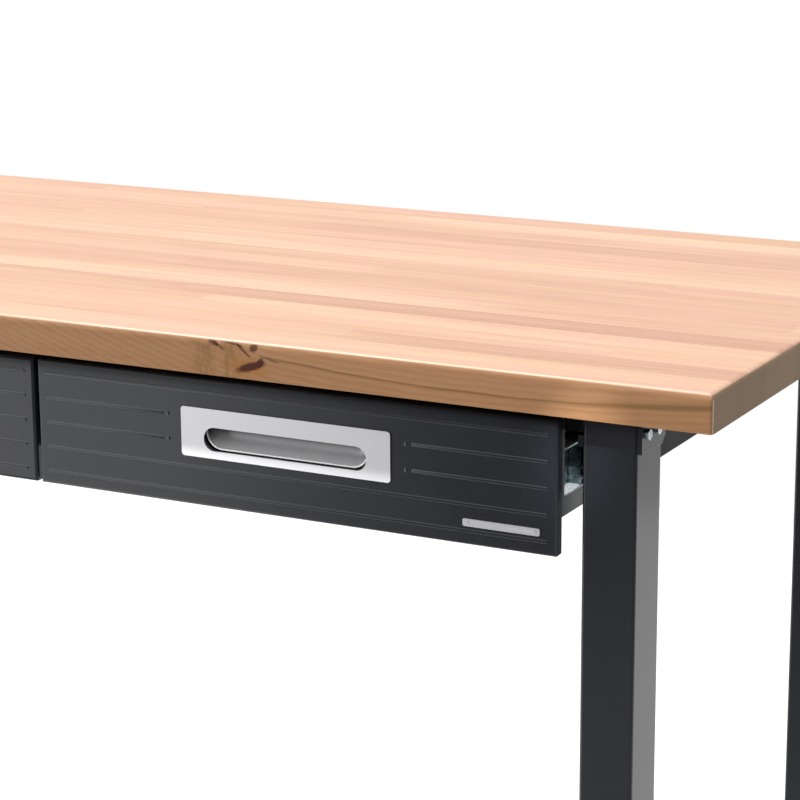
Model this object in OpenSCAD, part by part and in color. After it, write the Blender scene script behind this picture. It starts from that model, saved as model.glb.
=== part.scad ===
// Workbench: hardwood block top on a square-tube steel frame, with two drawers on ball-bearing slides.
// Origin: centre of the footprint, on the floor. +X is to the right, -Y is the front, +Z is up.

/* [Top] */
// Length of the wooden top along X
top_l = 1219; // [1180:1:1260]
// Depth of the wooden top along Y
top_d = 610; // [590:1:700]
// Thickness of the wooden top
top_t = 30.5; // [28:0.5:45]
// Height of the work surface above the floor
bench_h = 952.5; // [800:0.5:1000]
// Radius of the rounded upper edge
edge_r = 5.5; // [3:0.5:8]
// Radius of the four vertical corners
corner_r = 3; // [2:0.5:6]

/* [Frame] */
// Overhang of the top beyond the legs' outer faces, at each end
end_overhang = 69.9; // [60:0.1:72]
// Overhang of the top beyond the legs' front and rear faces
front_overhang = 27; // [25:1:40]
// Width of a leg along X
leg_w = 45; // [40:0.5:50]
// Depth of a leg along Y
leg_d = 50; // [44:0.5:54]
// Wall of the leg tube
leg_wall = 2; // [1.5:0.1:2.5]
// Height of the upper rails
rail_h = 48; // [40:1:60]
// Step from a leg's outer face in to a rail's outer face
rail_step = 5.7; // [4:0.1:8]
// Height of the lower rails
lower_rail_h = 40; // [30:1:60]
// Underside of the lower rails above the floor
lower_rail_z = 150; // [100:5:300]

/* [Drawers] */
// Width of a drawer front
front_w = 479.5; // [470:0.5:482]
// Height of a drawer front
front_h = 108; // [105:1:115]
// Gap between the two drawer fronts
front_gap = 4; // [4:0.5:8]
// Gap between the top's underside and a drawer front
front_drop = 6.8; // [4:0.1:8]
// Distance of the drawer fronts behind the top's front edge
front_inset = 10; // [8:0.5:11]
// Depth of the folded returns of a drawer front
pan_d = 9.5; // [9:0.1:14]
// Step from the edge of a drawer front in to its slides
side_gap = 3; // [2:0.5:4]
// Depth of a drawer box behind its front
box_d = 430; // [425:1:440]
// Sheet thickness of fronts and boxes
sheet = 1.2; // [1:0.1:1.5]
// Number of raised beads across a front
bead_count = 5; // [5:1:5]
// Spacing of the beads
bead_pitch = 21.3; // [20:0.1:22]

/* [Pull] */
// Length of the pull plate
pull_l = 193.5; // [185:0.5:200]
// Height of the pull plate
pull_h = 41.7; // [40:0.1:44]
// Length of the slot in the pull plate
slot_l = 150.5; // [140:0.5:154]
// Height of the slot in the pull plate
slot_h = 20; // [16:0.5:22]

/* [Hidden] */
$fn = 48;

// Colours
wood_tan = [0.86, 0.68, 0.50];
charcoal = [0.24, 0.25, 0.28];
zinc = [0.74, 0.77, 0.80];
stainless = [0.80, 0.80, 0.82];
black_plastic = [0.08, 0.08, 0.09];

// Sides: the sign of X and of Y
left = -1;
right = 1;
front = -1;
rear = 1;

// Frame
eps = 0.5;
under_z = bench_h - top_t;
leg_outer = top_l / 2 - end_overhang;
leg_inner = leg_outer - leg_w;
leg_face = top_d / 2 - front_overhang;
leg_back = leg_face - leg_d;
leg_x = (leg_outer + leg_inner) / 2;
leg_y = (leg_face + leg_back) / 2;
leg_r = 2.5;
leg_inside_r = 1;
rail_t = 1.8;
rail_flange = 24;
front_rail_y = -top_d / 2 + 36;
front_rail_d = 26;
front_rail_h = 20;
rail_gap = 1;

// Feet and plugs
plug_z = 21;
plug_lip = 3;
leg_z = plug_z + plug_lip;
plug_body = 6;
plug_boss_r = 9;
plug_boss_top = 45;
plug_inset = leg_wall + 0.1;
stud_r = 5;
stud_clear = 0.3;
stud_top = 62;
stud_base_r = 8;
pad_r = 23;
pad_top_r = 19;
pad_h = 8;
pad_edge = 3;
pad_chamfer = 1;
jam_nut_z = 12;
jam_nut_h = 8;
jam_nut_af = 17;

// Leg brackets, bolts and wood screws
bracket_t = 4;
bracket_h = 30;
bracket_l = 48;
bracket_flange = 38;
bracket_chamfer = 6;
bolt_r = 2.5;
bolt_hole_r = 2.7;
bolt_af = 8;
bolt_head = 3.5;
bolt_len = 18;
nut_h = 4;
nut_hole_r = 2.6;
bolt_z = under_z - 15.2;
bolt_steps = [8, 28];
wood_screw_r = 2.2;
wood_hole_r = 2.4;
wood_screw_l = 20;
wood_hole_l = 17;
wood_screw_head_r = 5;
wood_screw_head_h = 2.5;
bracket_screw_steps = [12, 35];
bracket_screw_x = leg_outer + 24;

// Drawer fronts
drawer_x = (front_w + front_gap) / 2;
half_w = front_w / 2;
slide_half = half_w - side_gap;
front_y = -top_d / 2 + front_inset;
pan_y = front_y + pan_d;
front_top = under_z - front_drop;
front_bottom = front_top - front_h;
front_mid = (front_top + front_bottom) / 2;
hem = 8;
pan_r = 1.5;
fold_r = 2.6;
bead_h = 0.8;
bead_half = 1.6;
bead_r = (bead_half * bead_half + bead_h * bead_h) / (2 * bead_h);
bead_end = 8;
short_beads = [1, 2];
bead_top = front_top - (front_h - (bead_count - 1) * bead_pitch) / 2;

// Pull
pull_t = 1.5;
pull_r = 3;
pull_z = under_z - 52;
slot_z = under_z - 56.5;
rivet_x = 110;
rivet_r = 1.2;
rivet_hole_r = 1.3;
rivet_head_h = 0.5;
rivet_head_r = 1.9;
rivet_tail = 1;
bead_stop = 114.5;
scoop_r = 13.5;
scoop_t = 1.2;
scoop_l = 148;
scoop_z = under_z - 51;
scoop_y = front_y + 2.5;
scoop_flange = 4;
scoop_flange_drop = 4;
window_r = 15.5;
window_l = 155;
pull_bracket_l = 234;
pull_bracket_h = 46;

// Badge plate
badge_l = 66;
badge_h = 6.2;
badge_t = 1;
badge_x = 192.8;
badge_z = under_z - 96.3;
badge_r = 1.5;
badge_pin_r = 1.1;
badge_pin_h = 0.5;
badge_pin_inset = 4;

// Slides, measured from a drawer's centre plane outwards
slide_z = under_z - 53;
channel_half = 19;
channel_x = slide_half - 13.3;
channel_d = 12.7;
channel_t = 1.2;
channel_y = front_y + 22;
channel_l = 420;
notch_r = 2.2;
notch_steps = [-15.2, 1.2];
middle_half = 15;
middle_x = channel_x + 2.4;
middle_d = 7.4;
middle_t = 1;
middle_y = front_y + 55;
middle_l = 400;
tab_t = 1.2;
tab_half = 17.3;
tab_d = 11.3;
tab_x = channel_x + 1.7;
bench_half = 11;
bench_d = 8.5;
bench_t = 1.2;
bench_y = front_y + 59;
bench_l = 420;
ball_r = 1.1;
ball_count = 6;
ball_pitch = 26;
outer_ball_y = middle_y + 20;
inner_ball_y = middle_y + 225;
cage_t = 0.8;
cage_w = 3;
cage_x = channel_x + 6.2;
slide_screw_steps = [30, 210, 390];
slide_screw_r = 1.8;
slide_screw_hole_r = 2;
slide_screw_head_r = 3.4;
slide_screw_head_h = 1.8;
slide_screw_l = 3.4;

// Drawer boxes
skirt_z = under_z - 87.5;
skirt_x = slide_half - 0.5;
ledge_z = slide_z - channel_half;
side_top = under_z - 31;
ear_d = 12.2;
ear_top = front_top - 2;
roll_r = 1.6;

// Hangers
hanger_wall = 1.5;
hanger_h = 68;
hanger_outer_h = 30;
hanger_lip = 5.5;
hanger_y = front_y + 57;
centre_wall_y = front_y + 60;
hanger_lead_y = -top_d / 2 + 31;
hanger_end = leg_back;
centre_half = front_gap / 2 + side_gap;
centre_flange = 22;
centre_screw_x = 13;
centre_screw_steps = [-190, 190];
centre_start = front_rail_y + front_rail_d;
centre_end = leg_face - rail_step - rail_flange;

// ---- Plain shapes ----

// A block from one corner to the other.
module block(low, high) {
    translate(low)
        cube(high - low);
}

// A rectangle with round corners, centred.
module rounded_rect(w, d, r) {
    square([w - 2 * r, d], center = true);
    square([w, d - 2 * r], center = true);
    for (sx = [-1, 1], sy = [-1, 1])
        translate([sx * (w / 2 - r), sy * (d / 2 - r)])
            circle(r);
}

// A slot with round ends, centred, its length along X.
module stadium(l, r) {
    square([l - 2 * r, 2 * r], center = true);
    for (sx = [-1, 1])
        translate([sx * (l / 2 - r), 0])
            circle(r);
}

// A cross-section with its two upper corners rounded.
module round_top(w, h, r) {
    translate([-w / 2, 0])
        square([w, h - r]);
    translate([-w / 2 + r, 0])
        square([w - 2 * r, h]);
    for (sx = [-1, 1])
        translate([sx * (w / 2 - r), h - r])
            circle(r);
}

// A hexagonal prism given by its width across flats.
module hex(af, h) {
    cylinder(h = h, r = af / sqrt(3), $fn = 6);
}

// A flat plate in the XZ plane: children are 2D, the front face is at y, and t is its thickness.
module upright(y, t) {
    translate([0, y + t, 0])
        rotate([90, 0, 0])
            linear_extrude(t)
                children();
}

// A bar with ball ends along X, from x0 to x1.
module bar(x0, x1, r) {
    translate([x0, 0, 0])
        rotate([0, 90, 0])
            cylinder(h = x1 - x0, r = r);
    for (x = [x0, x1])
        translate([x, 0, 0])
            sphere(r);
}

// Mirrors its children to the named side: modules are drawn for the right or the rear.
module to_side(sx, sy = 1) {
    mirror([sx < 0 ? 1 : 0, 0, 0])
        mirror([0, sy < 0 ? 1 : 0, 0])
            children();
}

// Moves its children to the left or right drawer's centre plane.
module at_drawer(side) {
    translate([side * drawer_x, 0, 0])
        children();
}

// ---- Top ----

module wood_top() {
    color(wood_tan)
    difference() {
        translate([0, 0, under_z])
            intersection() {
                rotate([90, 0, 0])
                    linear_extrude(top_d, center = true)
                        round_top(top_l, top_t, edge_r);
                rotate([90, 0, 90])
                    linear_extrude(top_l, center = true)
                        round_top(top_d, top_t, edge_r);
                linear_extrude(top_t)
                    rounded_rect(top_l, top_d, corner_r);
            }
        at_bracket_screws()
            wood_screw_hole();
        at_centre_screws()
            wood_screw_hole();
    }
}

module wood_screw_hole() {
    translate([0, 0, -eps])
        cylinder(h = wood_hole_l + eps, r = wood_hole_r);
}

// Places its children at the brackets' wood screws, on the top's underside.
module at_bracket_screws() {
    for (sx = [-1, 1], sy = [-1, 1], step = bracket_screw_steps)
        translate([sx * bracket_screw_x, sy * (leg_face - step), under_z])
            children();
}

// Places its children at the centre hanger's wood screws, on the top's underside.
module at_centre_screws() {
    for (sx = [-1, 1], y = centre_screw_steps)
        translate([sx * centre_screw_x, y, under_z])
            children();
}

module wood_screw(flange_t) {
    translate([0, 0, -flange_t - wood_screw_head_h])
        cylinder(h = wood_screw_head_h, r = wood_screw_head_r);
    translate([0, 0, -flange_t - wood_screw_head_h])
        cylinder(h = wood_screw_l - bracket_t + flange_t + wood_screw_head_h, r = wood_screw_r);
}

module top_screws() {
    color(zinc) {
        at_bracket_screws()
            wood_screw(bracket_t);
        at_centre_screws()
            wood_screw(hanger_wall);
    }
}

// ---- Legs, brackets and rails ----

// A square tube, drilled on its outer side for the bracket bolts.
module leg() {
    color(charcoal)
    difference() {
        translate([leg_x, leg_y, leg_z])
            linear_extrude(under_z - leg_z)
                difference() {
                    rounded_rect(leg_w, leg_d, leg_r);
                    rounded_rect(leg_w - 2 * leg_wall, leg_d - 2 * leg_wall, leg_inside_r);
                }
        at_bracket_bolts()
            translate([0, 0, -2 * leg_wall])
                cylinder(h = 3 * leg_wall, r = bolt_hole_r);
    }
}

// Places its children at a corner's two bracket bolts, on the leg's outer face, with +Z pointing out.
module at_bracket_bolts() {
    for (step = bolt_steps)
        translate([leg_outer, leg_face - step, bolt_z])
            rotate([0, 90, 0])
                children();
}

// An angle: one wall bolted to the leg's outer side, one flange screwed to the top.
module bracket() {
    color(charcoal)
    difference() {
        union() {
            translate([leg_outer, leg_face, 0])
                rotate([90, 0, 90])
                    linear_extrude(bracket_t)
                        polygon([
                            [0, under_z],
                            [0, under_z - bracket_h],
                            [bracket_chamfer - bracket_l, under_z - bracket_h],
                            [-bracket_l, under_z - bracket_h + bracket_chamfer],
                            [-bracket_l, under_z]
                        ]);
            block([leg_outer, leg_face - bracket_l, under_z - bracket_t],
                  [leg_outer + bracket_flange, leg_face, under_z]);
        }
        at_bracket_bolts()
            translate([0, 0, -eps])
                cylinder(h = bracket_t + 2 * eps, r = bolt_hole_r);
        for (step = bracket_screw_steps)
            translate([bracket_screw_x, leg_face - step, under_z - bracket_t - eps])
                cylinder(h = bracket_t + 2 * eps, r = wood_hole_r);
    }
}

module bracket_bolt() {
    translate([0, 0, bracket_t])
        hex(bolt_af, bolt_head);
    translate([0, 0, bracket_t - bolt_len])
        cylinder(h = bolt_len, r = bolt_r);
}

module bracket_nut() {
    translate([0, 0, -leg_wall - nut_h])
        difference() {
            hex(bolt_af, nut_h);
            translate([0, 0, -eps])
                cylinder(h = nut_h + 2 * eps, r = nut_hole_r);
        }
}

module bracket_bolts() {
    color(zinc)
    for (sx = [-1, 1], sy = [-1, 1])
        to_side(sx, sy)
            at_bracket_bolts() {
                bracket_bolt();
                bracket_nut();
            }
}

// A folded channel that opens inwards, between the two legs of one end.
module side_rail(z, h) {
    x = leg_outer - rail_step;
    color(charcoal) {
        block([x - rail_t, -leg_back, z], [x, leg_back, z + h]);
        block([x - rail_flange, -leg_back, z + h - rail_t], [x, leg_back, z + h]);
        block([x - rail_flange, -leg_back, z], [x, leg_back, z + rail_t]);
    }
}

// A folded channel that opens forwards, between the two rear legs.
module long_rail(z, h) {
    y = leg_face - rail_step;
    color(charcoal) {
        block([-leg_inner, y - rail_t, z], [leg_inner, y, z + h]);
        block([-leg_inner, y - rail_flange, z + h - rail_t], [leg_inner, y, z + h]);
        block([-leg_inner, y - rail_flange, z], [leg_inner, y, z + rail_t]);
    }
}

// An inverted channel above the drawers, between the two front legs.
module front_rail() {
    y = front_rail_y;
    y_end = front_rail_y + front_rail_d;
    z = under_z - front_rail_h;
    color(charcoal) {
        block([-leg_inner, y, under_z - rail_t], [leg_inner, y_end, under_z]);
        block([-leg_inner, y, z], [leg_inner, y + rail_t, under_z]);
        block([-leg_inner, y_end - rail_t, z], [leg_inner, y_end, under_z]);
    }
}

// ---- Hangers ----

// An inverted channel: its outer wall lies on the legs, its inner wall carries the bench members.
module side_hanger() {
    x = drawer_x + slide_half;
    z = under_z - hanger_h;
    color(charcoal)
    difference() {
        union() {
            block([x, hanger_y, z], [x + hanger_wall, hanger_end, under_z - hanger_wall]);
            block([x, centre_start, under_z - 2 * hanger_wall],
                  [leg_inner, centre_end, under_z - hanger_wall]);
            block([leg_inner - hanger_wall, centre_start, under_z - hanger_outer_h],
                  [leg_inner, centre_end, under_z - hanger_wall]);
            block([leg_inner - hanger_wall, hanger_lead_y, under_z - hanger_outer_h],
                  [leg_inner, centre_start + rail_gap, under_z - front_rail_h - rail_gap]);
            block([leg_inner - hanger_lip, hanger_lead_y, under_z - hanger_outer_h],
                  [leg_inner, hanger_lead_y + hanger_wall, under_z - front_rail_h - rail_gap]);
        }
        at_drawer(right)
            at_slide_screws()
                translate([0, 0, -eps])
                    cylinder(h = bench_t + hanger_wall + 2 * eps, r = slide_screw_hole_r);
        block([x - eps, hanger_y - eps, under_z - front_rail_h - rail_gap],
              [leg_inner - hanger_wall, centre_start, under_z]);
        block([x - eps, centre_end, under_z - rail_h - rail_gap],
              [leg_inner - hanger_wall, leg_face, under_z]);
    }
}

// Two walls back to back, each carrying the inner bench member of one drawer.
module hanger_centre() {
    z = under_z - hanger_h;
    color(charcoal)
    difference() {
        union() {
            for (side = [left, right])
                to_side(side) {
                    block([centre_half - hanger_wall, centre_wall_y, z],
                          [centre_half, hanger_end, under_z - hanger_wall]);
                    block([centre_half - hanger_wall, centre_start, under_z - hanger_wall],
                          [centre_flange, centre_end, under_z]);
                }
            block([-centre_half, centre_start, under_z - hanger_wall], [centre_half, centre_end, under_z]);
        }
        block([-centre_half - eps, hanger_y, under_z - front_rail_h - rail_gap],
              [centre_half + eps, centre_start, under_z]);
        for (side = [left, right])
            at_drawer(side)
                to_side(-side)
                    at_slide_screws()
                        translate([0, 0, bench_t - eps])
                            cylinder(h = hanger_wall + 2 * eps, r = slide_screw_hole_r);
        at_centre_screws()
            translate([0, 0, -hanger_wall - eps])
                cylinder(h = hanger_wall + 2 * eps, r = wood_hole_r);
    }
}

// ---- Feet ----

// A moulded end cap in the foot of each leg, with a boss for the levelling stud.
module leg_plug() {
    translate([leg_x, leg_y, 0])
        difference() {
            union() {
                translate([0, 0, plug_z])
                    linear_extrude(plug_lip)
                        rounded_rect(leg_w, leg_d, leg_r);
                translate([0, 0, leg_z])
                    linear_extrude(plug_body)
                        rounded_rect(leg_w - 2 * plug_inset, leg_d - 2 * plug_inset, leg_r);
                translate([0, 0, plug_z])
                    cylinder(h = plug_boss_top - plug_z, r = plug_boss_r);
            }
            translate([0, 0, plug_z - eps])
                cylinder(h = plug_boss_top - plug_z + 2 * eps, r = stud_r + stud_clear);
        }
}

module leg_plugs() {
    color(black_plastic)
    for (sx = [-1, 1], sy = [-1, 1])
        to_side(sx, sy)
            leg_plug();
}

// A threaded stud with its jam nut and the round base that the pad is moulded on.
module foot_stud() {
    color(zinc)
    translate([leg_x, leg_y, 0]) {
        translate([0, 0, pad_h])
            cylinder(h = stud_top - pad_h, r = stud_r);
        translate([0, 0, pad_h])
            cylinder(h = jam_nut_z - pad_h, r = stud_base_r);
        translate([0, 0, jam_nut_z])
            hex(jam_nut_af, jam_nut_h);
    }
}

module foot_pad() {
    color(black_plastic)
    translate([leg_x, leg_y, 0])
        rotate_extrude()
            polygon([
                [0, 0],
                [pad_r - pad_chamfer, 0],
                [pad_r, pad_chamfer],
                [pad_r, pad_edge],
                [pad_top_r, pad_h],
                [0, pad_h]
            ]);
}

// ---- Drawer fronts and pulls, drawn at a drawer's centre plane ----

module front_bead(x0, x1, z) {
    translate([0, front_y + bead_r - bead_h, z])
        bar(x0 + bead_half, x1 - bead_half, bead_r);
}

// The beads stand out of the front. The second and third stop at the rivets beside the pull.
module beads() {
    x_end = half_w - bead_end;
    intersection() {
        block([-half_w, front_y - bead_h - eps, front_bottom], [half_w, front_y + sheet / 2, front_top]);
        for (i = [0:bead_count - 1]) {
            z = bead_top - i * bead_pitch;
            if (i == short_beads[0] || i == short_beads[1]) {
                front_bead(-x_end, -bead_stop, z);
                front_bead(bead_stop, x_end, z);
            } else {
                front_bead(-x_end, x_end, z);
            }
        }
    }
}

module at_rivets() {
    for (sx = [-1, 1], i = short_beads)
        translate([sx * rivet_x, front_y, bead_top - i * bead_pitch])
            rotate([-90, 0, 0])
                children();
}

// A block with its front edges rounded: the pan's outside, or, with an inset, the space inside it.
module pan_block(inset, y_end) {
    d = y_end - front_y - inset;
    r = fold_r - inset;
    intersection() {
        translate([0, y_end, front_bottom + inset])
            mirror([0, 1, 0])
                linear_extrude(front_h - 2 * inset)
                    round_top(front_w - 2 * inset, d, r);
        translate([0, y_end, front_mid])
            rotate([90, 0, 90])
                linear_extrude(front_w - 2 * inset, center = true)
                    rotate(90)
                        round_top(front_h - 2 * inset, d, r);
    }
}

// A folded pan: front sheet, four returns, and a hem that turns inwards at the back.
module drawer_front() {
    color(charcoal)
    difference() {
        union() {
            difference() {
                intersection() {
                    pan_block(0, pan_y);
                    upright(front_y - eps, pan_d + 2 * eps)
                        translate([0, front_mid])
                            rounded_rect(front_w, front_h, pan_r);
                }
                pan_block(sheet, pan_y - sheet);
                block([hem - half_w, front_y + sheet, front_bottom + hem],
                      [half_w - hem, pan_y + eps, front_top - hem]);
            }
            beads();
        }
        upright(front_y - eps, pan_d + 2 * eps)
            translate([0, scoop_z])
                stadium(window_l, window_r);
        at_rivets()
            translate([0, 0, -2 * bead_h])
                cylinder(h = 4 * sheet, r = rivet_hole_r);
    }
}

module pull_plate() {
    color(stainless)
    upright(front_y - pull_t, pull_t)
        difference() {
            translate([0, pull_z])
                rounded_rect(pull_l, pull_h, pull_r);
            translate([0, slot_z])
                stadium(slot_l, slot_h / 2);
        }
}

// The finger cup: half a hollow bar with round ends, with a flange above for welding.
module pull_scoop() {
    x_end = scoop_l / 2 - scoop_r;
    color(stainless)
    difference() {
        union() {
            translate([0, scoop_y, scoop_z])
                bar(-x_end, x_end, scoop_r + scoop_t);
            intersection() {
                upright(scoop_y, scoop_t)
                    translate([0, scoop_z])
                        stadium(scoop_l + 2 * (scoop_t + scoop_flange), scoop_r + scoop_t + scoop_flange);
                block([-scoop_l, scoop_y, scoop_z + scoop_flange_drop],
                      [scoop_l, scoop_y + scoop_t, front_top]);
            }
        }
        translate([0, scoop_y, scoop_z])
            bar(-x_end, x_end, scoop_r);
        block([-scoop_l, scoop_y - 2 * scoop_r, scoop_z - 2 * scoop_r],
              [scoop_l, scoop_y, scoop_z + 2 * scoop_r]);
    }
}

// A flat strip behind the front that ties the pull to it.
module pull_bracket() {
    color(charcoal)
    difference() {
        upright(front_y + sheet, scoop_y - front_y - sheet)
            difference() {
                translate([0, pull_z])
                    rounded_rect(pull_bracket_l, pull_bracket_h, pull_r);
                translate([0, scoop_z])
                    stadium(window_l, window_r);
            }
        at_rivets()
            cylinder(h = 4 * sheet, r = rivet_hole_r);
    }
}

// Domed heads in front, short tails behind.
module pull_rivets() {
    dome_r = (rivet_head_r * rivet_head_r + rivet_head_h * rivet_head_h) / (2 * rivet_head_h);
    color(charcoal)
    at_rivets() {
        intersection() {
            translate([0, 0, dome_r - rivet_head_h])
                sphere(dome_r);
            translate([0, 0, -2 * rivet_head_h])
                cylinder(h = 2 * rivet_head_h, r = rivet_head_r);
        }
        cylinder(h = scoop_y - front_y, r = rivet_r);
        translate([0, 0, scoop_y - front_y])
            cylinder(h = rivet_tail, r = rivet_head_r);
    }
}

// A blank plate held by two pins.
module badge_plate() {
    color(stainless)
    at_drawer(right) {
        upright(front_y - badge_t, badge_t)
            translate([badge_x, badge_z])
                rounded_rect(badge_l, badge_h, badge_r);
        for (sx = [-1, 1])
            translate([badge_x + sx * (badge_l / 2 - badge_pin_inset), front_y - badge_t, badge_z])
                rotate([90, 0, 0])
                    cylinder(h = badge_pin_h, r = badge_pin_r);
    }
}

// ---- Drawer boxes ----

// One side: an upper wall beside the slide, a ledge under it, a skirt, and an ear that covers its front.
module box_side() {
    box_end = pan_y + box_d;
    wall_x = channel_x - sheet;
    block([wall_x, pan_y, skirt_z], [channel_x, box_end, side_top]);
    block([wall_x, pan_y, ledge_z - sheet], [skirt_x, box_end, ledge_z]);
    block([skirt_x - sheet, pan_y, skirt_z], [skirt_x, box_end, ledge_z]);
    block([skirt_x - sheet, pan_y, skirt_z], [skirt_x, pan_y + ear_d, ear_top]);
    block([wall_x, pan_y + ear_d - sheet, ledge_z - sheet], [skirt_x, pan_y + ear_d, ear_top]);
    translate([wall_x + sheet / 2, pan_y + ear_d, side_top])
        rotate([-90, 0, 0])
            cylinder(h = box_d - ear_d, r = roll_r);
}

module drawer_box() {
    box_end = pan_y + box_d;
    color(charcoal) {
        block([-skirt_x, pan_y, skirt_z], [skirt_x, box_end, skirt_z + sheet]);
        for (side = [left, right])
            to_side(side)
                box_side();
        block([-channel_x, box_end - sheet, skirt_z], [channel_x, box_end, side_top]);
        translate([-channel_x + sheet / 2, box_end - sheet / 2, side_top])
            rotate([0, 90, 0])
                cylinder(h = 2 * channel_x - sheet, r = roll_r);
    }
}

// ---- Slides, drawn for a drawer's right side ----

// A channel section in the XZ plane, from x to x + d, with its web at x.
module channel_bar(x, d, half, t, y, l) {
    block([x, y, slide_z - half], [x + t, y + l, slide_z + half]);
    for (sz = [-1, 1])
        block([x, y, slide_z + (sz > 0 ? half - t : -half)],
              [x + d, y + l, slide_z + (sz > 0 ? half : t - half)]);
}

// The drawer's member opens outwards. Its web has two notches at the front.
module slide_channel() {
    color(zinc)
    difference() {
        channel_bar(channel_x, channel_d, channel_half, channel_t, channel_y, channel_l);
        for (z = notch_steps)
            translate([channel_x - eps, channel_y, slide_z + z])
                rotate([0, 90, 0])
                    cylinder(h = channel_t + 2 * eps, r = notch_r);
    }
}

// The middle member runs inside the channel. A tab closes its front end.
module slide_middle() {
    color(zinc) {
        channel_bar(middle_x, middle_d, middle_half, middle_t, middle_y, middle_l);
        block([tab_x, middle_y, slide_z - tab_half],
              [tab_x + tab_d - tab_t, middle_y + tab_t, slide_z + tab_half]);
    }
}

// Places its children at a bench member's screws, with +Z pointing out of the drawer.
module at_slide_screws() {
    for (step = slide_screw_steps)
        translate([slide_half - bench_t, bench_y + step, slide_z])
            rotate([0, 90, 0])
                children();
}

// The bench member opens towards the drawer and is screwed to a hanger.
module bench_member() {
    color(zinc)
    difference() {
        translate([2 * slide_half, 0, 0])
            mirror([1, 0, 0])
                channel_bar(slide_half, bench_d, bench_half, bench_t, bench_y, bench_l);
        at_slide_screws()
            translate([0, 0, -eps])
                cylinder(h = bench_t + 2 * eps, r = slide_screw_hole_r);
    }
}

module slide_screw() {
    translate([0, 0, -slide_screw_head_h])
        cylinder(h = slide_screw_head_h, r = slide_screw_head_r);
    translate([0, 0, -slide_screw_head_h])
        cylinder(h = slide_screw_head_h + slide_screw_l, r = slide_screw_r);
}

module slide_screws() {
    color(zinc)
    for (side = [left, right])
        at_drawer(side)
            for (sx = [left, right])
                to_side(sx)
                    at_slide_screws()
                        slide_screw();
}

// One row of balls in its retainer strip, at height z above the slide's axis.
module ball_row(y, z) {
    translate([cage_x, y, slide_z + z]) {
        block([-cage_w / 2, 0, -cage_t / 2], [cage_w / 2, ball_count * ball_pitch, cage_t / 2]);
        for (i = [0:ball_count - 1])
            translate([0, (i + 0.5) * ball_pitch, 0])
                sphere(ball_r, $fn = 24);
    }
}

module slide_balls() {
    outer_z = (channel_half - channel_t + middle_half) / 2;
    inner_z = (middle_half - middle_t + bench_half) / 2;
    color(zinc)
    for (side = [left, right], sz = [-1, 1])
        to_side(side) {
            ball_row(outer_ball_y, sz * outer_z);
            ball_row(inner_ball_y, sz * inner_z);
        }
}

// ---- Nodes ----

wood_top();
to_side(left, front) leg();  // leg_front_left
to_side(right, front) leg();  // leg_front_right
to_side(left, rear) leg();  // leg_rear_left
to_side(right, rear) leg();  // leg_rear_right
to_side(left, front) bracket();  // bracket_front_left
to_side(right, front) bracket();  // bracket_front_right
to_side(left, rear) bracket();  // bracket_rear_left
to_side(right, rear) bracket();  // bracket_rear_right
bracket_bolts();
top_screws();
to_side(left) side_rail(under_z - rail_h, rail_h);  // side_rail_left
to_side(right) side_rail(under_z - rail_h, rail_h);  // side_rail_right
front_rail();
long_rail(under_z - rail_h, rail_h);  // rear_rail
to_side(left) side_rail(lower_rail_z, lower_rail_h);  // lower_rail_left
to_side(right) side_rail(lower_rail_z, lower_rail_h);  // lower_rail_right
long_rail(lower_rail_z, lower_rail_h);  // lower_rail_rear
to_side(left) side_hanger();  // hanger_left
hanger_centre();
to_side(right) side_hanger();  // hanger_right
slide_screws();
leg_plugs();
to_side(left, front) foot_stud();  // foot_stud_front_left
to_side(right, front) foot_stud();  // foot_stud_front_right
to_side(left, rear) foot_stud();  // foot_stud_rear_left
to_side(right, rear) foot_stud();  // foot_stud_rear_right
to_side(left, front) foot_pad();  // foot_pad_front_left
to_side(right, front) foot_pad();  // foot_pad_front_right
to_side(left, rear) foot_pad();  // foot_pad_rear_left
to_side(right, rear) foot_pad();  // foot_pad_rear_right
at_drawer(left) drawer_front();  // left_drawer_front
at_drawer(left) drawer_box();  // left_drawer_box
at_drawer(left) pull_plate();  // left_pull_plate
at_drawer(left) pull_scoop();  // left_pull_scoop
at_drawer(left) pull_bracket();  // left_pull_bracket
at_drawer(left) pull_rivets();  // left_pull_rivets
at_drawer(left) slide_balls();  // left_slide_balls
at_drawer(left) to_side(left) slide_channel();  // left_channel_outer
at_drawer(left) to_side(right) slide_channel();  // left_channel_inner
at_drawer(left) to_side(left) slide_middle();  // left_middle_outer
at_drawer(left) to_side(right) slide_middle();  // left_middle_inner
at_drawer(left) to_side(left) bench_member();  // left_bench_member_outer
at_drawer(left) to_side(right) bench_member();  // left_bench_member_inner
at_drawer(right) drawer_front();  // right_drawer_front
at_drawer(right) drawer_box();  // right_drawer_box
at_drawer(right) pull_plate();  // right_pull_plate
at_drawer(right) pull_scoop();  // right_pull_scoop
at_drawer(right) pull_bracket();  // right_pull_bracket
at_drawer(right) pull_rivets();  // right_pull_rivets
at_drawer(right) slide_balls();  // right_slide_balls
at_drawer(right) to_side(right) slide_channel();  // right_channel_outer
at_drawer(right) to_side(left) slide_channel();  // right_channel_inner
at_drawer(right) to_side(right) slide_middle();  // right_middle_outer
at_drawer(right) to_side(left) slide_middle();  // right_middle_inner
at_drawer(right) to_side(right) bench_member();  // right_bench_member_outer
at_drawer(right) to_side(left) bench_member();  // right_bench_member_inner
badge_plate();
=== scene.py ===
import math
import bpy
from mathutils import Matrix, Vector


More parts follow.
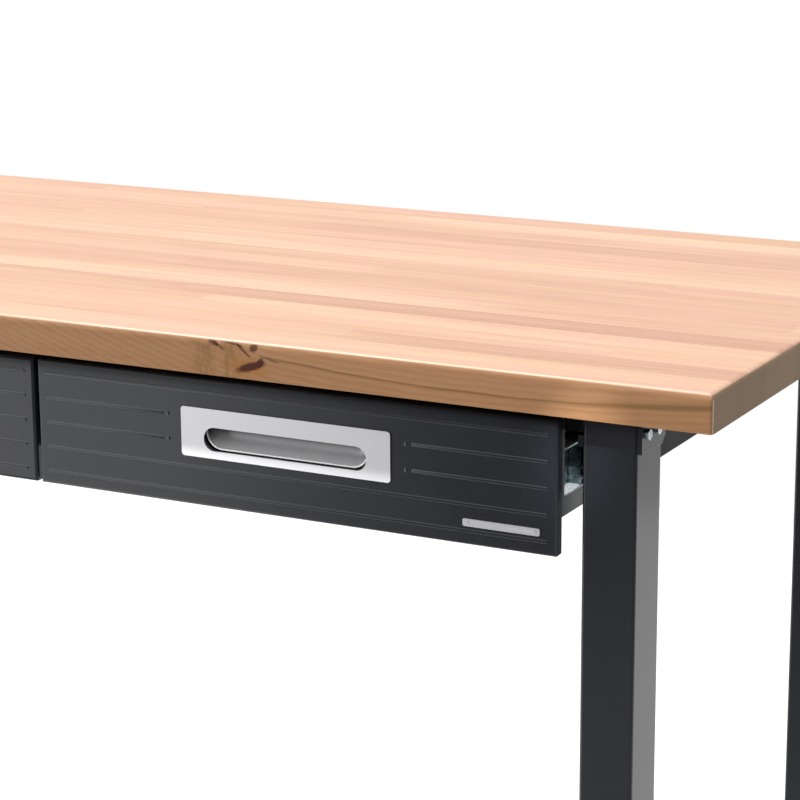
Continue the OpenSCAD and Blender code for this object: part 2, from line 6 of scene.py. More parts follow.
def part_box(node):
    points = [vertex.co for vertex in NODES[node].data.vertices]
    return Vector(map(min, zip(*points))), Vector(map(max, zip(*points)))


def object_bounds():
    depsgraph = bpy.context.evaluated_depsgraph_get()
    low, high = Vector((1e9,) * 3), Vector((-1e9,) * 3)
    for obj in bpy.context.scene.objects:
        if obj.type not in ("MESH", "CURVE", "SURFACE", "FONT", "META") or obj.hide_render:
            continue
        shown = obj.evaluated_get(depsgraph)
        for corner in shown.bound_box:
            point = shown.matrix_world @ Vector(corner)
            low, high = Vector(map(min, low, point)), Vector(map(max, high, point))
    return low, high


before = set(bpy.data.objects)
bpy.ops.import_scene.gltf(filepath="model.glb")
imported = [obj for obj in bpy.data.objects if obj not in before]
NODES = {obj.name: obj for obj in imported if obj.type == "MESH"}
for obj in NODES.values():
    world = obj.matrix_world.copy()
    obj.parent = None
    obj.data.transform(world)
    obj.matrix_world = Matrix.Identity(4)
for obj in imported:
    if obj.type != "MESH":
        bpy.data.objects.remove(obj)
CAD_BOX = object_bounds()
MM = 0.001

# ---- Places, worked out from the frame ----

TOP_LOW, TOP_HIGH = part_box("wood_top")
TOP_FRONT = TOP_LOW.y
TOP_RIGHT = TOP_HIGH.x
UNDERSIDE = TOP_LOW.z
CORNER = Vector((TOP_RIGHT, TOP_FRONT, UNDERSIDE))
FLOOR = CAD_BOX[0].z

# ---- Camera ----

# From the top's lower front right corner to the camera in metres, and the camera's direction in degrees.
CAMERA_OFFSET = Vector((0.64087, -1.72257, 0.48701))
CAMERA_YAW = 27.543
CAMERA_PITCH = 14.12
CAMERA_ROLL = -0.364
CAMERA_LENS = 116.06
SENSOR = 36.0

# ---- Studio ----

FLOOR_SIZE = 4.8
# The floor ends a little in front of the feet, so that the fronts mirror the dim front of the studio.
FLOOR_FRONT = 0.32
FLOOR_COLOUR = (0.80, 0.80, 0.80)

# Brightness of the surroundings, and what each part adds to it or takes from it.
BACK_LIGHT = 1.05
FRONT_LIGHT = 0.20
OVERHEAD_LIGHT = 1.14
LEFT_PANEL = 1.5
LOW_FRONT = 0.35
RIGHT_DIM = 0.30

# Lamps: each one's place seen from what it is turned to, its size in metres or its angle in degrees, and
# its power.
OVERHEAD_PLACE = Vector((-0.9, 0.2, 2.1))
OVERHEAD_SIZE = (2.0, 1.6)
OVERHEAD_POWER = 24.0
ACCENT_PLACE = Vector((0.74, -1.45, 1.45))
ACCENT_ANGLE = 1.05
ACCENT_RADIUS = 0.03
ACCENT_POWER = 760.0
KEY_PLACE = Vector((0.80, -1.60, 1.75))
KEY_SIZE = (0.7, 0.4)
KEY_POWER = 7.0

# ---- Colours ----

# From the darkest wood to the palest.
WOOD_TONES = [
    (0.0, (0.375, 0.165, 0.088)),
    (0.5, (0.490, 0.260, 0.148)),
    (1.0, (0.580, 0.345, 0.216)),
]
END_TONES = [
    (0.0, (0.110, 0.070, 0.038)),
    (1.0, (0.270, 0.180, 0.108)),
]
# The edges are yellower than the face, and darker as painted shade.
EDGE_TINT_AND_SHADE = (0.83, 0.84, 0.70)
# The face wavers between two tints, and the wood above the edge's grain line has a third.
GREEN_TINT = (1.00, 1.05, 0.93)
PINK_TINT = (1.0, 0.955, 1.03)
ROSE_TINT = (1.05, 0.95, 1.02)
VEIN = (0.33, 0.165, 0.075)
FLECK = (0.30, 0.140, 0.062)
GLUE = (0.26, 0.130, 0.062)
# Painted highlight along the rounded top edges of the top.
ARRIS_PAINTED_HIGHLIGHT = (0.90, 0.74, 0.57)
GRAIN_LINE = (0.235, 0.115, 0.048)
SWIRL = (0.290, 0.140, 0.058)
KNOT_GLOW = (0.440, 0.190, 0.050)
KNOT = (0.085, 0.020, 0.008)

PAINT = (0.0135, 0.0150, 0.0200)
RAIL_PAINT = (0.014, 0.014, 0.014)
BOX_PAINT = (0.0150, 0.0200, 0.0230)
SATIN_DARK = (0.53, 0.525, 0.54)
SATIN_PALE = (0.64, 0.635, 0.65)
# Painted sheen on the strip of a pull plate below its slot.
PAINTED_SHEEN_STEEL = (0.93, 0.93, 0.95)
# Painted light low in a finger cup and painted shade high in it.
CUP_PAINTED_LIGHT = (0.98, 0.98, 1.0)
CUP_PAINTED_SHADE = (0.012, 0.012, 0.013)
DRAW_MARK = (0.35, 0.35, 0.37)
# Painted highlight on a finger cup's rim.
CUP_RIM_HIGHLIGHT = (0.96, 0.96, 0.97)
ZINC_TONES = [
    (0.0, (0.10, 0.16, 0.17)),
    (0.5, (0.36, 0.43, 0.45)),
    (1.0, (0.80, 0.84, 0.86)),
]
NYLON = (0.012, 0.012, 0.013)
DUST = (0.09, 0.085, 0.08)


# ---- Node graphs ----

class Value:
    """A socket that can be used in arithmetic: each operation adds a Math node."""

    def __init__(self, graph, socket):
        self.graph = graph
        self.socket = socket

    def __add__(self, other):
        return self.graph.math("ADD", self, other)

    def __sub__(self, other):
        return self.graph.math("SUBTRACT", self, other)

    def __rsub__(self, other):
        return self.graph.math("SUBTRACT", other, self)

    def __mul__(self, other):
        return self.graph.math("MULTIPLY", self, other)

    def __truediv__(self, other):
        return self.graph.math("DIVIDE", self, other)

    def floor(self):
        return self.graph.math("FLOOR", self)

    def fract(self):
        return self.graph.math("FRACT", self)

    def abs(self):
        return self.graph.math("ABSOLUTE", self)

    def sin(self):
        return self.graph.math("SINE", self)

    def sqrt(self):
        return self.graph.math("SQRT", self)

    def at_least(self, other):
        return self.graph.math("MAXIMUM", self, other)

    def at_most(self, other):
        return self.graph.math("MINIMUM", self, other)

    def smooth(self, low, high, to_low=0.0, to_high=1.0):
        """Runs smoothly from to_low at low to to_high at high, and stays there outside."""
        node = self.graph.node("MapRange", interpolation_type="SMOOTHSTEP")
        for socket, value in zip(node.inputs, (self, low, high, to_low, to_high)):
            self.graph.feed(socket, value)
        return Value(self.graph, node.outputs[0])


class Graph:
    """The node tree of a material or of the world."""

    def __init__(self, owner, shader="Principled BSDF"):
        owner.use_nodes = True
        self.owner = owner
        self.tree = owner.node_tree
        self.shader = self.tree.nodes[shader]

    def node(self, kind, **settings):
        made = self.tree.nodes.new("ShaderNode" + kind)
        for key, value in settings.items():
            setattr(made, key, value)
        return made

    def feed(self, socket, value):
        """Links a Value to the socket, or sets it to a number or a colour."""
        if isinstance(value, Value):
            self.tree.links.new(value.socket, socket)
        elif isinstance(value, tuple):
            socket.default_value = (*value, 1.0) if len(socket.default_value) == 4 else value
        else:
            socket.default_value = value

    def set(self, **inputs):
        """Sets the shader's inputs. An underscore in a name stands for a space."""
        for key, value in inputs.items():
            self.feed(self.shader.inputs[key.replace("_", " ")], value)

    def math(self, operation, *values):
        node = self.node("Math", operation=operation)
        for socket, value in zip(node.inputs, values):
            self.feed(socket, value)
        return Value(self, node.outputs[0])

    def coordinates(self, output):
        """X, Y and Z of an output of the texture coordinate node."""
        coords = self.node("TexCoord")
        split = self.node("SeparateXYZ")
        self.tree.links.new(coords.outputs[output], split.inputs[0])
        return [Value(self, out) for out in split.outputs]

    def place(self):
        """X, Y and Z in metres in the frame at rest."""
        return self.coordinates("Object")

    def facing(self):
        """The surface normal's X, Y and Z."""
        return self.coordinates("Normal")

    def vector(self, x, y, z=0.0):
        node = self.node("CombineXYZ")
        for socket, value in zip(node.inputs, (x, y, z)):
            self.feed(socket, value)
        return Value(self, node.outputs[0])

    def scaled(self, place, *features):
        """A place as a vector, with that many features per unit along X, Y and Z, or one number for all."""
        counts = features if len(features) == 3 else features * 3
        return self.vector(*(part * count for part, count in zip(place, counts)))

    def noise(self, point, detail=2.0, roughness=0.5, distortion=0.0):
        """Noise around 0.5, one feature per unit of the point."""
        node = self.node("TexNoise")
        self.feed(node.inputs["Vector"], point)
        self.feed(node.inputs["Scale"], 1.0)
        self.feed(node.inputs["Detail"], detail)
        self.feed(node.inputs["Roughness"], roughness)
        self.feed(node.inputs["Distortion"], distortion)
        return Value(self, node.outputs[0])

    def cells(self, point):
        """A random value for each of many small cells, about one per unit of the point."""
        node = self.node("TexVoronoi")
        self.feed(node.inputs["Vector"], point)
        self.feed(node.inputs["Scale"], 1.0)
        return Value(self, node.outputs["Color"])

    def random(self, point):
        """A random value from 0 to 1 that is the same wherever the point is the same."""
        node = self.node("TexWhiteNoise", noise_dimensions="3D")
        self.feed(node.inputs["Vector"], point)
        return Value(self, node.outputs["Value"])

    def ramp(self, value, stops, interpolation="LINEAR"):
        node = self.node("ValToRGB")
        self.feed(node.inputs[0], value)
        ramp = node.color_ramp
        ramp.interpolation = interpolation
        while len(ramp.elements) < len(stops):
            ramp.elements.new(1.0)
        for element, (position, colour) in zip(ramp.elements, stops):
            element.position = position
            element.color = (*colour, 1.0)
        return Value(self, node.outputs[0])

    def steps(self, index, numbers):
        """The number in the list at a whole index."""
        count = len(numbers)
        stops = [(i / count, (number,) * 3) for i, number in enumerate(numbers)]
        return self.ramp((index + 0.5) / count, stops, "CONSTANT")

    def mix(self, share, a, b, blend="MIX"):
        """Colour a with that share of b."""
        node = self.node("Mix", data_type="RGBA", blend_type=blend)
        factor, colour_a, colour_b = node.inputs[0], node.inputs[6], node.inputs[7]
        self.feed(factor, share)
        self.feed(colour_a, a)
        self.feed(colour_b, b)
        return Value(self, node.outputs[2])

    def bump(self, height, distance, strength=1.0):
        """A bump of that height in metres where height is 1."""
        node = self.node("Bump")
        self.feed(node.inputs["Strength"], strength)
        self.feed(node.inputs["Distance"], distance)
        self.feed(node.inputs["Height"], height)
        return Value(self, node.outputs[0])


# ---- Wood: the staves ----

STAVE_W = 35 * MM
FRONT_STAVE = 45 * MM
BOARD_L = 0.78
JOINT_FADE = 50 * MM
# One row per stave from the front: tone left of its end joint, the joint's place from the right end,
# and the tone right of it. Tone 0 is the darkest and 1 the palest.
STAVES = [
    (0.78, 0.72, 0.86), (0.46, 0.34, 0.20), (0.62, 0.90, 0.66), (0.58, 0.52, 0.72), (0.34, 0.56, 0.04),
    (1.00, 0.29, 0.50), (0.46, 0.80, 0.52), (0.36, 0.62, 0.36), (0.56, 0.44, 0.52), (0.60, 0.95, 0.48),
    (0.84, 0.70, 0.90), (0.66, 0.38, 0.54), (0.52, 0.86, 0.44), (0.44, 0.60, 0.32), (0.48, 0.76, 0.50),
    (0.70, 0.54, 0.96), (0.56, 0.92, 0.48),
]
STAVE_CONTRAST = 0.75
# The contrast is taken around this tone, and the boards' own random differences are added to it.
MEAN_TONE = 0.6
BOARD_SCATTER = 0.16
# How far a board's grain may be shifted along it, in features of the noise.
GRAIN_SHIFT = 40.0
# Width of the dark lines, as a share of half a stave and of a board's length.
GLUE_SHARE = 0.022
END_GLUE_SHARE = 0.0006


def board_layout(g, along, depth):
    """Where a point lies: how many staves in, in which row, and how far right of its end joint in metres."""
    across = (depth - FRONT_STAVE / MM) * MM / STAVE_W + 1.0
    row = across.floor().at_least(0.0).at_most(len(STAVES) - 1.0)
    joint = g.steps(row, [place for _, place, _ in STAVES]) * -1.0
    return across, row, along * MM - joint


def board_tone(g, row, from_joint, chance):
    """A stave's tone left or right of its end joint, with some chance in it."""
    left = g.steps(row, [tone for tone, _, _ in STAVES])
    right = g.steps(row, [tone for _, _, tone in STAVES])
    right_of = from_joint.smooth(-JOINT_FADE, JOINT_FADE)
    tone = left + (right - left) * right_of - MEAN_TONE + (chance - 0.5) * BOARD_SCATTER
    return tone * STAVE_CONTRAST + MEAN_TONE


def glue_lines(across, depth, from_joint):
    """How much of a line between staves, and of an end joint, a point lies in."""
    inwards = (across - across.floor() - 0.5).abs() * -2.0 + 1.0
    # The front stave is wider than the others and has no line inside it.
    side = inwards.smooth(0.0, GLUE_SHARE, 1.0, 0.0) * depth.smooth(20.0, 30.0)
    part = (from_joint / BOARD_L).fract()
    end = part.at_most(1.0 - part).smooth(0.0, END_GLUE_SHARE, 1.0, 0.0)
    return side, end


def grain(g, place, shift, along, across, detail, roughness=0.5):
    """Noise drawn out along the boards, with that many features per mm along and across them."""
    x, y, z = place
    return g.noise(g.vector(x * along + shift, y * across, z * across), detail, roughness)


def face_colour(g, place, shift, tone, bands, streaks, fibres, flecks):
    """Colour of the upper and lower face: tone and grain, wavering tints, thin veins and dark flecks."""
    x, y, _ = place
    surface = (x, y, 0.0)
    veins = (grain(g, surface, shift, 0.0022, 0.075, 2.0) - 0.5).abs().smooth(0.0, 0.010, 1.0, 0.0)
    pins = grain(g, surface, shift, 0.0045, 0.95, 3.0, 0.6).smooth(0.52, 0.72)
    hue = grain(g, surface, shift, 0.0030, 0.11, 3.0, 0.6).smooth(0.35, 0.65)
    shade = tone + (bands - 0.5) * 0.75 + (streaks - 0.5) * 1.05 + (fibres - 0.5) * 0.50 - pins * 0.50
    colour = g.mix(1.0, g.ramp(shade, WOOD_TONES), g.mix(hue, GREEN_TINT, PINK_TINT), "MULTIPLY")
    colour = g.mix(veins * streaks * 0.50, colour, VEIN)
    return g.mix(flecks * 0.30, colour, FLECK)


# ---- Wood: the long edges, in mm from the right end and above the underside ----

# Marks of the knots: place from the right end and above the underside, half length, half width, tilt in
# degrees, and how dark.
KNOTS = [
    (392.0, 10.6, 15.5, 3.9, 17, 1.0),
    (383.0, 15.0, 5.0, 3.2, 60, 0.9),
    (389.0, 26.4, 4.6, 3.6, 30, 0.85),
    (398.0, 23.0, 9.0, 1.3, -38, 0.8),
    (408.0, 28.0, 12.0, 1.2, -8, 0.7),
    (427.0, 27.4, 6.0, 2.2, -20, 0.7),
    (421.0, 25.0, 8.0, 1.4, -30, 0.6),
    (374.0, 18.5, 10.0, 1.1, -12, 0.6),
]
# The middle of the brown glow around them.
GLOW_X = 394.0
GLOW_Z = 10.0
# Where the grain swirls past them: place from the right end, and from and to where a swirl fades.
SWIRLS = [(436.0, 4.0, 16.0), (411.0, 3.0, 13.0)]
# The low point of the arched grain line, how it curves up from there, and where and how steeply it leaves
# the curve on the left.
ARCH_X = 190
ARCH_Z = 10.7
ARCH_CURVE = 0.00026
KINK_X = 185.0
KINK_SLOPE = 0.15


def knots(g, x, z):
    """How much of a knot a point of the edge lies in."""
    total = 0.0
    ragged = g.noise(g.vector(x * 0.35, z * 0.6), 3.0) * 0.7 - 0.35
    for cx, cz, length, width, tilt, depth in KNOTS:
        c, s = math.cos(math.radians(tilt)), math.sin(math.radians(tilt))
        dx, dz = x + cx, z - cz
        along = (dx * c + dz * s) / length
        across = (dz * c - dx * s) / width
        far = (along * along + across * across).sqrt() + ragged
        total = far.smooth(0.55, 1.15, depth, 0.0) + total
    return total.at_most(1.0)


def above_arch(g, x, z):
    """How far a point of the edge lies above the arched grain line."""
    dx = x + ARCH_X
    kink = (dx * -1.0 - KINK_X).at_least(0.0) * KINK_SLOPE
    arch = dx * dx * ARCH_CURVE + kink + ARCH_Z
    warp = g.noise(g.vector(x * 0.02, z * 0.12), 3.0) * 3.0 - 1.5
    return z - arch + warp


def arch_line(x, ring):
    """How much of the arched line a point lies in: it is thin on the left, broad on the right, and ends."""
    dx = x + ARCH_X
    broad = dx.smooth(20.0, 140.0)
    thin_line = ring.abs().smooth(0.2, 1.3, 1.0, 0.0)
    broad_line = ring.abs().smooth(0.5, 4.5, 1.0, 0.0)
    reach = dx.smooth(-190.0, -175.0)
    return (thin_line * (1.0 - broad) + broad_line * broad) * reach


def swirls(g, x, z):
    """How much of the dark swirls beside the knots a point lies in."""
    near = 0.0
    for cx, full, none in SWIRLS:
        near = (x + cx).abs().smooth(full, none, 1.0, 0.0) + near
    return near * g.noise(g.vector(x * 0.25, z * 0.08), 3.0).smooth(0.3, 0.6)


def long_edge(g, x, z, tone, front):
    """Colour of a long edge: flat-sawn grain that dips in a long arch, with knots where front is 1."""
    ring = above_arch(g, x, z)
    faint = (ring * 1.15 + g.noise(g.vector(x * 0.01, z * 0.3), 2.0) * 5.0).sin() * 0.5 + 0.5
    fine = g.noise(g.vector(x * 0.05, z * 2.6), 4.0, 0.62)
    shade = tone + (fine - 0.5) * 0.90 - faint * 0.18 + ring.smooth(-1.5, 2.5) * 0.12
    colour = g.ramp(shade, WOOD_TONES)
    rosy = ring.smooth(-2.0, 3.0, 0.0, 0.25)
    colour = g.mix(rosy, colour, g.mix(1.0, colour, ROSE_TINT, "MULTIPLY"))
    colour = g.mix(arch_line(x, ring) * 0.70, colour, GRAIN_LINE)
    colour = g.mix((swirls(g, x, z) * front * 0.62).at_most(0.8), colour, SWIRL)
    glow_x = (x + GLOW_X).abs().smooth(5.0, 24.0, 1.0, 0.0)
    glow_z = (z - GLOW_Z).abs().smooth(2.0, 11.0, 1.0, 0.0)
    colour = g.mix(glow_x * glow_z * front * 0.8, colour, KNOT_GLOW)
    return g.mix(knots(g, x, z) * front, colour, KNOT)


# ---- Wood: the ends ----

# Spacing of the ring centres, how far chance moves them, and how far below the underside they lie, in mm.
RING_CENTRES = 52.0
RING_MOVE_Y = 60.0
RING_MOVE_Z = 30.0
RING_DEPTH = 18.0


def end_grain(g, y, z, row):
    """Colour of the ends: arcs of rings, each stave with its own centre. In mm."""
    offset = g.random(g.vector(row, 3.0, 7.0))
    cy = y + offset * RING_MOVE_Y
    cz = z + RING_DEPTH + offset * RING_MOVE_Z
    across = cy - ((cy / RING_CENTRES).floor() + 0.5) * RING_CENTRES
    radius = (across * across + cz * cz).sqrt()
    wobble = g.noise(g.vector(y * 0.12, z * 0.12), 3.0) * 6.0
    rings = ((radius + wobble) * 2.4).sin() * 0.5 + 0.5
    pores = g.noise(g.vector(y * 3.2, z * 3.2), 2.0, 0.6)
    return g.ramp(rings * 0.12 + pores * 0.62 + offset * 0.2, END_TONES)


def wood():
    """The whole top: the faces, the long edges and the ends, told apart by the surface's direction."""
    g = Graph(bpy.data.materials.new("butcher_block"))
    x, y, z = g.place()
    nx, ny, _ = g.facing()
    along = (x - TOP_RIGHT) / MM
    depth = (y - TOP_FRONT) / MM
    up = (z - UNDERSIDE) / MM
    place = (along, depth, up)

    # The last number of a random vector tells one use of chance from another.
    across, row, from_joint = board_layout(g, along, depth)
    board = (from_joint / BOARD_L).floor()
    chance = g.random(g.vector(row, board, 1.0))
    tone = board_tone(g, row, from_joint, chance)
    shift = chance * GRAIN_SHIFT

    bands = grain(g, place, shift, 0.0016, 0.045, 3.0, 0.55)
    streaks = grain(g, place, shift, 0.006, 0.35, 4.0, 0.6)
    fibres = grain(g, place, shift, 0.05, 2.2, 3.0, 0.7)
    flecks = grain(g, place, shift, 0.11, 1.3, 1.0, 0.4).smooth(0.66, 0.76)
    face = face_colour(g, place, shift, tone, bands, streaks, fibres, flecks)

    side_joint, end_joint = glue_lines(across, depth, from_joint)
    seen = g.random(g.vector(row, board, 9.0)).smooth(0.2, 0.9, 0.15, 0.55)
    face = g.mix((side_joint * seen + end_joint * 0.35).at_most(0.7), face, GLUE)

    # The rear edge has the front edge's pattern turned about, without its knots.
    front = ny.smooth(-0.6, -0.4, 1.0, 0.0)
    from_left = along + (TOP_HIGH.x - TOP_LOW.x) / MM
    edge_x = along * front - from_left * (1.0 - front)
    edge_tone = (bands - 0.5) * 0.5 + 0.50
    # The edges' tint makes them yellower, and darker as painted shade.
    edge = g.mix(1.0, long_edge(g, edge_x, up, edge_tone, front), EDGE_TINT_AND_SHADE, "MULTIPLY")

    is_edge = ny.abs().smooth(0.55, 0.80)
    is_end = nx.abs().smooth(0.55, 0.80)
    colour = g.mix(is_edge, face, edge)
    colour = g.mix(is_end, colour, end_grain(g, depth, up, row))
    # A painted highlight along the rounded edges, streaked with the grain.
    arris_highlight = ny.abs().smooth(0.15, 0.35) * ny.abs().smooth(0.50, 0.70, 1.0, 0.0)
    colour = g.mix(arris_highlight * streaks * 0.9, colour, ARRIS_PAINTED_HIGHLIGHT)

    relief = fibres * 0.6 + streaks * 0.4 - (side_joint + end_joint).at_most(1.0) * 0.8
    g.set(
        Base_Color=colour,
        Roughness=(fibres - 0.5) * 0.16 + 0.36 + flecks * 0.06 + is_end * 0.25,
        IOR=1.5,
        Specular_IOR_Level=0.5 - is_end * 0.25 - is_edge * 0.32,
        Normal=g.bump(relief, 0.05 * MM, 0.6),
    )
    return g.owner


# ---- Metal and plastic ----

# Close under the top, between these depths, the paint's gloss falls to a share of itself as painted shade.
SHADE_START = 20 * MM
SHADE_END = 6 * MM
SHADED_GLOSS = 0.25
# The strip of a pull plate below its slot that gets a painted sheen, as a share of the plate's height.
PAINTED_SHEEN_SHARE = 0.28
# A finger cup has painted light up to this height, turning to painted shade by its middle, and the painted
# highlight on its rim fades between these depths from the cup's front.
CUP_PAINTED_LIGHT_HEIGHT = 2 * MM
RIM_START = 0.4 * MM
RIM_END = 1.6 * MM


def powder_coat(name, colour, roughness, gloss=0.5, peel=0.03):
    """Satin powder coat: an orange-peel bump of peel mm and a faint mottle, with less gloss under the top as
    painted shade.
    """
    g = Graph(bpy.data.materials.new(name))
    place = g.place()
    coarse = g.noise(g.scaled(place, 450.0), 2.0)
    cloud = g.noise(g.scaled(place, 9.0), 3.0, 0.6)
    # Painted shade: the gloss falls close under the top.
    under_top_painted_shade = place[2].smooth(UNDERSIDE - SHADE_START, UNDERSIDE - SHADE_END, 1.0, SHADED_GLOSS)
    dark = tuple(c * 0.85 for c in colour)
    pale = tuple(c * 1.15 for c in colour)
    g.set(
        Base_Color=g.mix(coarse * 0.5 + cloud * 0.5, dark, pale),
        Roughness=(cloud - 0.5) * 0.10 + (coarse - 0.5) * 0.08 + roughness,
        IOR=1.5,
        Specular_IOR_Level=under_top_painted_shade * gloss,
        Normal=g.bump(coarse, peel * MM, 0.5),
    )
    return g.owner


def brushed_steel(name, sheen_strength):
    """Satin stainless, brushed along X. The last argument is how bright the painted sheen is on the strip of
    a pull below its slot.
    """
    g = Graph(bpy.data.materials.new(name))
    place = g.place()
    lines = g.noise(g.scaled(place, 55.0, 800.0, 5200.0), 3.0, 0.65)
    long_lines = g.noise(g.scaled(place, 12.0, 300.0, 1900.0), 3.0, 0.6)
    cloud = g.noise(g.scaled(place, 18.0, 18.0, 30.0), 2.0)
    brushing = lines * 0.5 + long_lines * 0.5
    low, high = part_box("right_pull_plate")
    # Painted sheen on the strip below the slot.
    painted_sheen = place[2].smooth(low.z, low.z + (high.z - low.z) * PAINTED_SHEEN_SHARE, 1.0, 0.0)
    g.set(
        Base_Color=g.mix(painted_sheen * sheen_strength, g.mix(brushing, SATIN_DARK, SATIN_PALE), PAINTED_SHEEN_STEEL),
        Metallic=1.0,
        Roughness=(lines - 0.5) * 0.16 + (cloud - 0.5) * 0.08 + 0.34,
        Normal=g.bump(brushing, 0.012 * MM, 0.5),
    )
    return g.owner


def finger_cup_steel():
    """Drawn stainless cup with faint draw marks: a painted highlight on the rim, and painted light low on the
    back that turns to painted shade upwards.
    """
    g = Graph(bpy.data.materials.new("drawn_steel"))
    place = g.place()
    marks = g.noise(g.scaled(place, 90.0, 90.0, 900.0), 3.0, 0.6)
    cloud = g.noise(g.scaled(place, 40.0), 2.0)
    low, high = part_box("right_pull_scoop")
    # Painted light low in the cup, turning to painted shade by its middle; the lit part is also less
    # metallic.
    up = place[2].smooth(low.z + CUP_PAINTED_LIGHT_HEIGHT, (low.z + high.z) / 2)
    back_light_and_shade = g.mix(marks * 0.12, g.mix(up, CUP_PAINTED_LIGHT, CUP_PAINTED_SHADE), DRAW_MARK)
    # Painted highlight on the rim.
    rim_highlight = place[1].smooth(low.y + RIM_START, low.y + RIM_END, 1.0, 0.0)
    g.set(
        Base_Color=g.mix(rim_highlight, back_light_and_shade, CUP_RIM_HIGHLIGHT),
        Metallic=up * (1.0 - rim_highlight) * 0.5 + 0.5,
        Roughness=(marks - 0.5) * 0.12 + (cloud - 0.5) * 0.06 + 0.40 - rim_highlight * 0.15,
        Normal=g.bump(marks, 0.01 * MM, 0.4),
    )
    return g.owner


def zinc_plate(name, roughness, mottle, lift, up_light_share=0.0):
    """Bluish, cloudy zinc with fine scratches, paler with more lift. The last argument makes upward faces
    paler and less metallic, as painted light.
    """
    g = Graph(bpy.data.materials.new(name))
    place = g.place()
    cloud = g.noise(g.scaled(place, 60.0), 4.0, 0.6, 0.6)
    patches = g.cells(g.scaled(place, 170.0))
    scratches = g.noise(g.scaled(place, 700.0, 25.0, 700.0), 3.0, 0.7)
    # Painted light: upward faces are paler and less metallic.
    painted_light_up = g.facing()[2].smooth(0.6, 0.9) * up_light_share
    tone = cloud * 0.65 + patches * 0.2 + scratches * 0.15 + painted_light_up + lift
    g.set(
        Base_Color=g.ramp(tone.smooth(0.5 - 0.5 * mottle, 0.5 + 0.5 * mottle), ZINC_TONES),
        Metallic=1.0 - painted_light_up * 0.75,
        Roughness=(cloud - 0.5) * 0.25 + (patches - 0.5) * 0.08 + roughness,
        Normal=g.bump(scratches * 0.5 + cloud * 0.5, 0.02 * MM, 0.4),
    )
    return g.owner


def nylon():
    """Moulded black nylon with a fine spark texture, and some dust close to the floor."""
    g = Graph(bpy.data.materials.new("black_nylon"))
    place = g.place()
    spark = g.noise(g.scaled(place, 1500.0), 2.0)
    dust = g.noise(g.scaled(place, 30.0), 4.0, 0.6)
    low = place[2].smooth(0.0, 30 * MM, 1.0, 0.0)
    g.set(
        Base_Color=g.mix(dust * low * 0.5, NYLON, DUST),
        Roughness=(dust - 0.5) * 0.2 + 0.52,
        IOR=1.5,
        Normal=g.bump(spark, 0.04 * MM, 0.6),
    )
    return g.owner


# ---- Putting the materials on ----

def material_table():
    """The material of every CAD node, by words in its name. The first match counts."""
    paint = powder_coat("charcoal_powder_coat", PAINT, 0.17)
    rail_paint = powder_coat("rail_powder_coat", RAIL_PAINT, 0.60, 0.20)
    box_paint = powder_coat("box_powder_coat", BOX_PAINT, 0.35, 0.42)
    # The slides' upward faces get painted light.
    plate = zinc_plate("zinc_slides", 0.26, 0.45, -0.08, up_light_share=1.0)
    fasteners = zinc_plate("zinc_fasteners", 0.20, 0.8, 0.13)
    black = nylon()
    steel = brushed_steel("brushed_steel", sheen_strength=1.0)
    badge = brushed_steel("badge_steel", sheen_strength=0.0)
    cup = finger_cup_steel()
    return [
        ("wood_top", wood()),
        ("foot_pad", black),
        ("leg_plugs", black),
        ("bolts", fasteners),
        ("screws", fasteners),
        ("foot_stud", fasteners),
        ("slide_balls", fasteners),
        ("channel", plate),
        ("middle", plate),
        ("bench_member", plate),
        ("pull_plate", steel),
        ("badge_plate", badge),
        ("pull_scoop", cup),
        ("side_rail", rail_paint),
        ("drawer_box", box_paint),
        ("", paint),
    ]


def dress_nodes():
    """Puts its material on every CAD node."""
    table = material_table()
    for name, piece in NODES.items():
        material = next(m for word, m in table if word in name)
        piece.data.materials.clear()
        piece.data.materials.append(material)


# ---- Edges ----

# Rounding of edges, in mm, by words in a node's name. The first match counts.
EDGE_RADII = [
    ("pull_plate", 0.8),
    ("pull_scoop", 0.4),
    ("badge_plate", 0.25),
    ("drawer_front", 0.5),
    ("bolts", 0.4),
    ("bracket", 0.4),
    ("rail", 0.5),
    ("hanger", 0.3),
]
# Vertices closer than this are one, and edges that turn by more than this many degrees are rounded.
WELD_DISTANCE = 0.01 * MM
SHARP_ANGLE = 40


def round_edges():
    """Small bevels on sharp edges, so that they catch the light."""
    for name, piece in NODES.items():
        radius = next((r for word, r in EDGE_RADII if word in name), None)
        if radius is None:
            continue
        weld = piece.modifiers.new("weld", "WELD")
        weld.merge_threshold = WELD_DISTANCE
        bevel = piece.modifiers.new("bevel", "BEVEL")
        bevel.width = radius * MM
        bevel.segments = 2
        bevel.limit_method = "ANGLE"
        bevel.angle_limit = math.radians(SHARP_ANGLE)
        bevel.use_clamp_overlap = True
        bevel.harden_normals = True


# ---- Floor, light and camera ----

def add_floor():
    """A pale floor under the bench. The white surroundings carry on where it ends."""
    mesh = bpy.data.meshes.new("floor")
    half = FLOOR_SIZE / 2
    start = TOP_FRONT - FLOOR_FRONT
    corners = [(-half, start, FLOOR), (half, start, FLOOR), (half, half, FLOOR), (-half, half, FLOOR)]
    mesh.from_pydata(corners, [], [(0, 1, 2, 3)])
    floor = bpy.data.objects.new("floor", mesh)
    bpy.context.scene.collection.objects.link(floor)
    g = Graph(bpy.data.materials.new("floor"))
    g.set(Base_Color=FLOOR_COLOUR, Roughness=0.9, Specular_IOR_Level=0.1)
    mesh.materials.append(g.owner)


def hang(data, place, target):
    """Puts a lamp at place, turned to target."""
    lamp = bpy.data.objects.new(data.name, data)
    lamp.location = place
    lamp.rotation_euler = (target - place).to_track_quat("-Z", "Y").to_euler()
    bpy.context.scene.collection.objects.link(lamp)
    return lamp


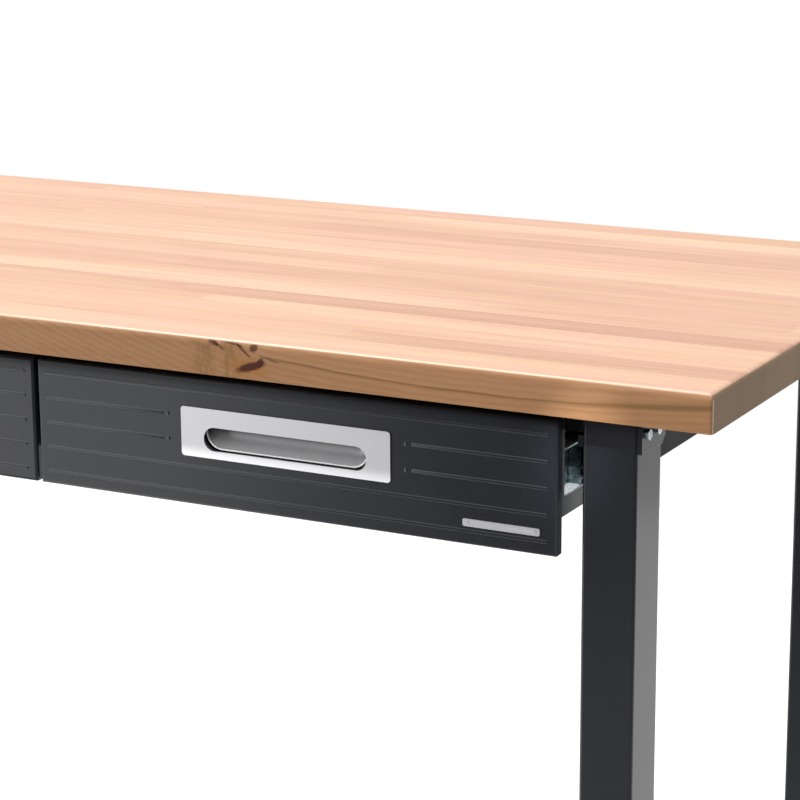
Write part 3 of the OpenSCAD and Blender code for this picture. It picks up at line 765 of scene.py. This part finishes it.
def add_light(name, place, target, size, power):
    """A rectangular soft light that the camera doesn't see."""
    data = bpy.data.lights.new(name, "AREA")
    data.shape = "RECTANGLE"
    data.size, data.size_y = size
    data.energy = power
    lamp = hang(data, place, target)
    lamp.visible_camera = False


def add_accent(place, target):
    """A narrow spot: it lights the slide in the gap beside the leg."""
    data = bpy.data.lights.new("accent", "SPOT")
    data.spot_size = math.radians(ACCENT_ANGLE)
    data.spot_blend = 0.5
    data.shadow_soft_size = ACCENT_RADIUS
    data.energy = ACCENT_POWER
    hang(data, place, target)


def add_world():
    """Studio surroundings: a wide soft light overhead, white behind, and dimmer where the camera stands."""
    world = bpy.data.worlds.new("studio")
    bpy.context.scene.world = world
    g = Graph(world, "Background")
    # The direction looked in: 1 is right, to the back and up.
    x, y, z = g.coordinates("Generated")
    behind = y.smooth(-0.45, 0.45)
    walls = behind * (BACK_LIGHT - FRONT_LIGHT) + FRONT_LIGHT
    overhead = z.smooth(0.28, 0.85, 0.0, OVERHEAD_LIGHT)
    left_panel = x.smooth(-0.52, -0.455, LEFT_PANEL, 0.0) * (1.0 - behind)
    right_dim = x.smooth(0.20, 0.45, 0.0, RIGHT_DIM) * behind
    low_front = z.smooth(-0.37, -0.28, LOW_FRONT, 0.0) * (1.0 - behind)
    light = walls + overhead + left_panel + low_front - right_dim
    # The camera itself sees plain white.
    path = g.node("LightPath")
    seen = Value(g, path.outputs["Is Camera Ray"])
    g.set(Color=(1.0, 1.0, 1.0), Strength=light + (1.0 - light) * seen)


def add_lights():
    """A wide lamp overhead, a small one at the front right, and the accent on the right drawer's slide."""
    centre = Vector((0.0, 0.0, UNDERSIDE))
    add_light("overhead", centre + OVERHEAD_PLACE, centre, OVERHEAD_SIZE, OVERHEAD_POWER)
    # The accent's target is the channel's lower flange, close behind its front end.
    channel_low, channel_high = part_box("right_channel_outer")
    slide = Vector((channel_high.x, channel_low.y + 12 * MM, channel_low.z + 2 * MM))
    add_accent(slide + ACCENT_PLACE, slide)
    add_light("key", CORNER + KEY_PLACE, CORNER, KEY_SIZE, KEY_POWER)


def add_camera():
    """The photograph's camera: it looks down and to the left at the right-hand end of the bench."""
    yaw, pitch, roll = (math.radians(a) for a in (CAMERA_YAW, CAMERA_PITCH, CAMERA_ROLL))
    ahead = Vector((-math.sin(yaw) * math.cos(pitch), math.cos(yaw) * math.cos(pitch), -math.sin(pitch)))
    level = Vector((math.cos(yaw), math.sin(yaw), 0.0))
    steep = level.cross(ahead)
    right = level * math.cos(roll) + steep * math.sin(roll)
    up = steep * math.cos(roll) - level * math.sin(roll)
    data = bpy.data.cameras.new("camera")
    data.lens = CAMERA_LENS
    data.sensor_width = SENSOR
    camera = bpy.data.objects.new("camera", data)
    turn = Matrix((right, up, -ahead)).transposed().to_4x4()
    camera.matrix_world = Matrix.Translation(CORNER + CAMERA_OFFSET) @ turn
    bpy.context.scene.collection.objects.link(camera)
    bpy.context.scene.camera = camera


def main():
    add_camera()
    add_floor()
    add_world()
    add_lights()
    dress_nodes()
    round_edges()
    bpy.context.scene.view_settings.view_transform = "Standard"


main()
